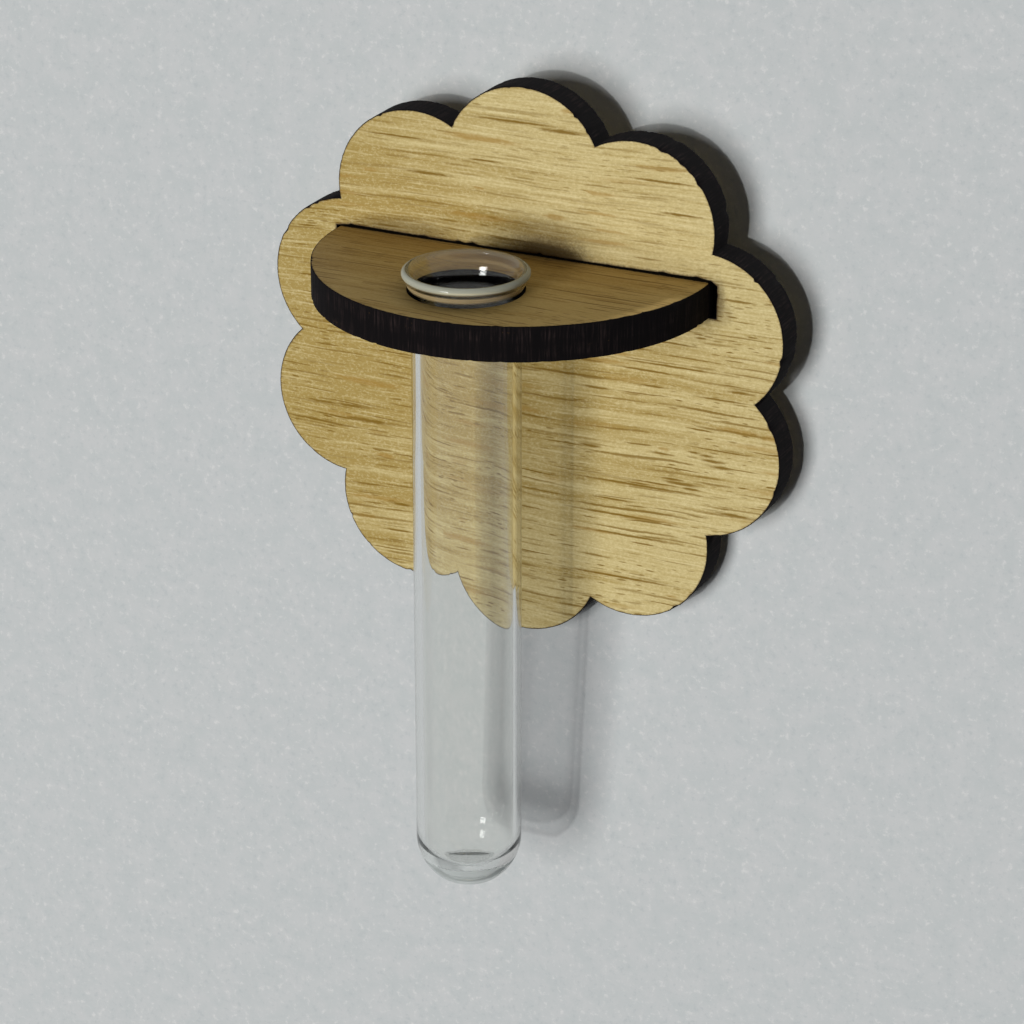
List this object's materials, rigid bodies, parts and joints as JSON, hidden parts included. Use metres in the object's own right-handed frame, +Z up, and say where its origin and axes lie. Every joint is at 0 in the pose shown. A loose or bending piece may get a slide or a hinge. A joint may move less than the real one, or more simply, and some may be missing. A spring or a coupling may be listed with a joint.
{
  "type": "test tube vase",
  "caption": "Wall vase: a glass test tube hangs by its flared lip in a half-round wooden shelf, let into a scalloped wooden plate with a magnet behind it.",
  "frame": {"origin": "middle of the magnet's rear face, which lies on the wall", "axes": "+Z up, along the plate; +Y into the wall, so the shelf sticks out towards -Y; +X to the right as seen from the front"},
  "size_m": [0.083, 0.0401, 0.1199],
  "materials": {
    "veneered_board": "pale golden veneer with grain along X, satin, and edges charred black by the laser",
    "clear_glass": "clear and smooth",
    "nickel_plate": "bright nickel plate"
  },
  "bodies": {
    "holder": {"back_plate": "veneered_board", "shelf": "veneered_board", "back_magnet": "nickel_plate"},
    "tube": {"test_tube": "clear_glass"}
  },
  "joints": [
    {"name": "tube_lift", "type": "slide", "parent": "holder", "child": "tube", "axis": [0, 0, 1], "range_m": [0, 0.1]}
  ]
}
